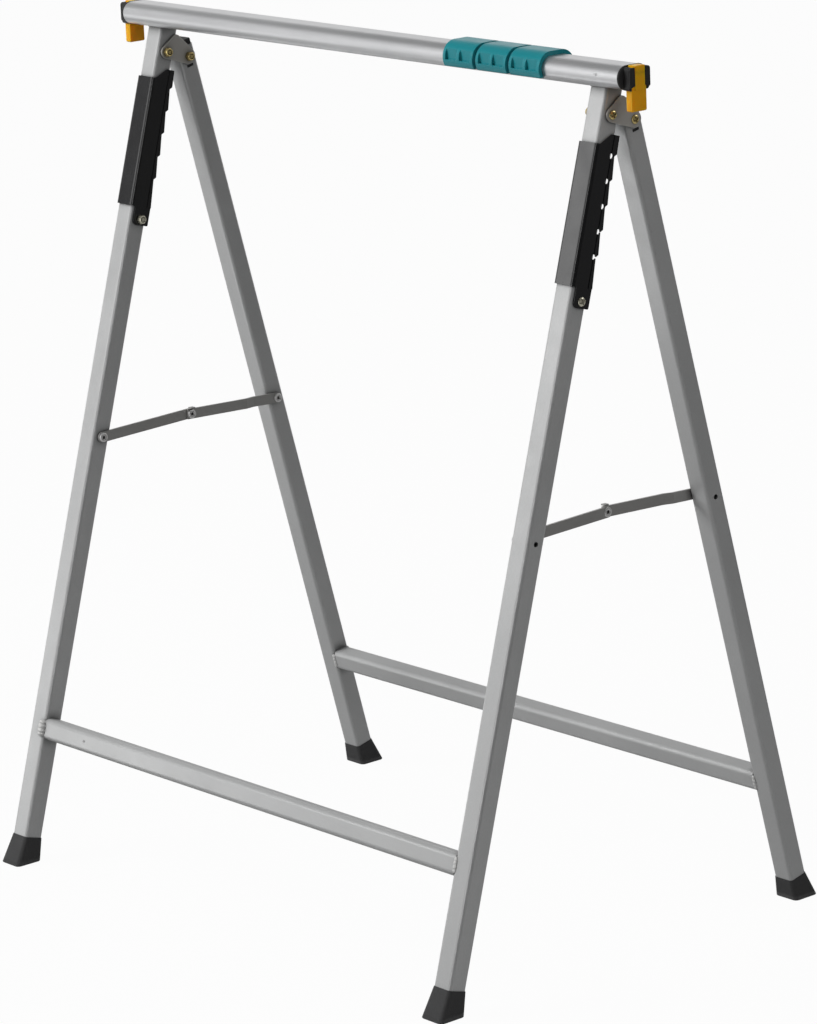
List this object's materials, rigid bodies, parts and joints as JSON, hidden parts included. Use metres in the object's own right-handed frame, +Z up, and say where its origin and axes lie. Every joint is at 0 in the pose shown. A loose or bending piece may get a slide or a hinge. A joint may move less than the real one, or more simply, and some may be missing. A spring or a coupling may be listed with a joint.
{
  "type": "folding workstand",
  "caption": "Folding metal trestle: an oval beam on a front frame, a rear frame that folds flat, folding stays, swing-out arms and pop-up end stops.",
  "frame": {"origin": "on the floor, at the middle of the box round the opened stand", "axes": "+X along the beam towards the end with the saddles, +Y from the front frame to the rear frame, +Z up"},
  "size_m": [0.7052, 0.459, 0.804],
  "materials": {
    "leg_paint": "satin silver-grey powder coat",
    "beam_paint": "semi-gloss silver coat",
    "stay_paint": "satin dark grey coat",
    "arm_black": "semi-gloss black coat",
    "black_plastic": "moulded, fine grain",
    "foot_rubber": "matt",
    "stop_yellow": "satin moulded",
    "saddle_teal": "satin moulded",
    "zinc_gold": "yellow zinc plate",
    "rivet_steel": "bright zinc plate"
  },
  "bodies": {
    "front_frame": {"beam_tube": "beam_paint", "front_leg_left": "leg_paint", "front_leg_right": "leg_paint", "front_crossbar": "leg_paint", "end_cap_left": "black_plastic", "end_cap_right": "black_plastic", "front_foot_left": "foot_rubber", "front_foot_right": "foot_rubber", "stay_rivets_front": "rivet_steel"},
    "rear_frame": {"rear_leg_left": "leg_paint", "rear_leg_right": "leg_paint", "rear_crossbar": "leg_paint", "hinge_plate_left_inner": "leg_paint", "hinge_plate_left_outer": "leg_paint", "hinge_plate_right_inner": "leg_paint", "hinge_plate_right_outer": "leg_paint", "hinge_screws": "zinc_gold", "hinge_nuts": "zinc_gold", "leg_plug_left": "black_plastic", "leg_plug_right": "black_plastic", "rear_foot_left": "foot_rubber", "rear_foot_right": "foot_rubber", "stay_rivets_rear": "rivet_steel"},
    "support_arm_left": {"support_arm_left": "arm_black", "arm_screw_left": "zinc_gold", "arm_nut_left": "zinc_gold"},
    "stay_front_left": {"stay_front_left": "stay_paint"},
    "stay_rear_left": {"stay_rear_left": "stay_paint", "stay_centre_rivet_left": "rivet_steel"},
    "end_stop_left": {"end_stop_left": "stop_yellow"},
    "support_arm_right": {"support_arm_right": "arm_black", "arm_screw_right": "zinc_gold", "arm_nut_right": "zinc_gold"},
    "stay_front_right": {"stay_front_right": "stay_paint"},
    "stay_rear_right": {"stay_rear_right": "stay_paint", "stay_centre_rivet_right": "rivet_steel"},
    "end_stop_right": {"end_stop_right": "stop_yellow"},
    "saddle_left": {"saddle_left": "saddle_teal"},
    "saddle_middle": {"saddle_middle": "saddle_teal"},
    "saddle_right": {"saddle_right": "saddle_teal"}
  },
  "joints": [
    {"name": "rear_fold", "type": "hinge", "parent": "front_frame", "child": "rear_frame", "pos_m": [0, 0.003, 0.7552], "axis": [-1, 0, 0], "range_deg": [0, 29.9]},
    {"name": "arm_swing_left", "type": "hinge", "parent": "front_frame", "child": "support_arm_left", "pos_m": [-0.3075, -0.03916, 0.60053], "axis": [1, 0, 0], "range_deg": [0, 87]},
    {"name": "stay_front_turn_left", "type": "hinge", "parent": "front_frame", "child": "stay_front_left", "pos_m": [-0.295, -0.09935, 0.399], "axis": [1, 0, 0], "range_deg": [0, 68.74]},
    {"name": "stay_rear_turn_left", "type": "hinge", "parent": "rear_frame", "child": "stay_rear_left", "pos_m": [-0.295, 0.11521, 0.399], "axis": [-1, 0, 0], "range_deg": [0, 64.57]},
    {"name": "end_stop_lift_left", "type": "slide", "parent": "front_frame", "child": "end_stop_left", "axis": [0, 0, 1], "range_m": [0, 0.019]},
    {"name": "arm_swing_right", "type": "hinge", "parent": "front_frame", "child": "support_arm_right", "pos_m": [0.3075, -0.03916, 0.60053], "axis": [1, 0, 0], "range_deg": [0, 87]},
    {"name": "stay_front_turn_right", "type": "hinge", "parent": "front_frame", "child": "stay_front_right", "pos_m": [0.295, -0.09935, 0.399], "axis": [1, 0, 0], "range_deg": [0, 68.74]},
    {"name": "stay_rear_turn_right", "type": "hinge", "parent": "rear_frame", "child": "stay_rear_right", "pos_m": [0.295, 0.11521, 0.399], "axis": [-1, 0, 0], "range_deg": [0, 64.57]},
    {"name": "end_stop_lift_right", "type": "slide", "parent": "front_frame", "child": "end_stop_right", "axis": [0, 0, 1], "range_m": [0, 0.019]},
    {"name": "saddle_slide_left", "type": "slide", "parent": "front_frame", "child": "saddle_left", "axis": [1, 0, 0], "range_m": [-0.41, 0]},
    {"name": "saddle_slide_middle", "type": "slide", "parent": "front_frame", "child": "saddle_middle", "axis": [1, 0, 0], "range_m": [-0.0035, 0.0035]},
    {"name": "saddle_slide_right", "type": "slide", "parent": "front_frame", "child": "saddle_right", "axis": [1, 0, 0], "range_m": [0, 0.045]}
  ],
  "couplings": [
    {"joint": "stay_front_turn_left", "follows": "rear_fold", "ratio": 2.2989},
    {"joint": "stay_rear_turn_left", "follows": "rear_fold", "ratio": 2.1596},
    {"joint": "stay_front_turn_right", "follows": "rear_fold", "ratio": 2.2989},
    {"joint": "stay_rear_turn_right", "follows": "rear_fold", "ratio": 2.1596}
  ]
}
